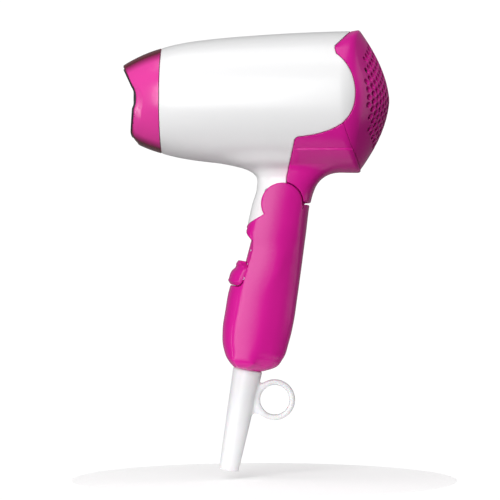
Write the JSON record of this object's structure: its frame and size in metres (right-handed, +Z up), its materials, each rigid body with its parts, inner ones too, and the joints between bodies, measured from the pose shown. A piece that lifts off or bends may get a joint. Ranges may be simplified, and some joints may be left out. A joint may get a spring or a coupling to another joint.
{
  "type": "folding hair dryer",
  "caption": "Compact hair dryer with a folding handle, slide switch, fan, heater, translucent outlet nozzle and hanging ring.",
  "frame": {"origin": "middle of the hand grip, on the mirror plane", "axes": "+Z up with the barrel level, +X from the nozzle towards the intake grille, +Y across the object"},
  "size_m": [0.1386, 0.0734, 0.2296],
  "materials": {
    "casing_white": "smooth moulded, semi-gloss",
    "casing_pink": "smooth moulded, semi-gloss magenta pink",
    "nozzle_pink": "polished, translucent pink",
    "guard_white": "soft satin",
    "dark_plastic": "fine matt",
    "mica_board": "layered mica sheet",
    "circuit_board": "lacquered board",
    "lead_cover": "silicone lead cover",
    "steel": "plain zinc-plated",
    "heating_wire": "oxidised resistance wire",
    "motor_can": "drawn steel can"
  },
  "bodies": {
    "handle": {"handle_shell_left": "casing_pink", "handle_shell_right": "casing_pink", "fold_pin": "steel", "handle_screw_upper": "steel", "handle_screw_lower": "steel", "switch_body": "dark_plastic", "noise_capacitor": "dark_plastic", "handle_lead": "lead_cover", "cord_clamp": "guard_white", "clamp_screw_front": "steel", "clamp_screw_rear": "steel", "cord_guard": "guard_white"},
    "head": {"barrel_housing": "casing_white", "rear_housing": "casing_pink", "rear_grille": "casing_pink", "outlet_nozzle": "nozzle_pink", "outlet_grille": "dark_plastic", "lint_screen": "dark_plastic", "heater_tube": "mica_board", "mica_board_upright": "mica_board", "mica_board_flat": "mica_board", "heating_coil_front": "heating_wire", "heating_coil_rear": "heating_wire", "thermostat": "steel", "thermal_fuse": "steel", "motor": "motor_can", "motor_holder": "dark_plastic", "rectifier_board": "circuit_board", "neck_screw": "steel", "detent_ball": "steel", "detent_spring": "steel", "head_lead": "lead_cover"},
    "fan": {"motor_shaft": "steel", "fan_impeller": "dark_plastic"},
    "switch_slider": {"switch_knob": "casing_pink", "switch_contact": "steel"}
  },
  "joints": [
    {"name": "fold_hinge", "type": "hinge", "parent": "handle", "child": "head", "pos_m": [0.00891, 0, 0.04716], "axis": [0, -1, 0], "range_deg": [0, 75]},
    {"name": "fan_spin", "type": "hinge", "parent": "head", "child": "fan", "pos_m": [0.03891, 0, 0.10076], "axis": [1, 0, 0], "continuous": true},
    {"name": "switch_slide", "type": "slide", "parent": "handle", "child": "switch_slider", "axis": [0.2538, 0, 0.9673], "range_m": [0, 0.0144]}
  ]
}
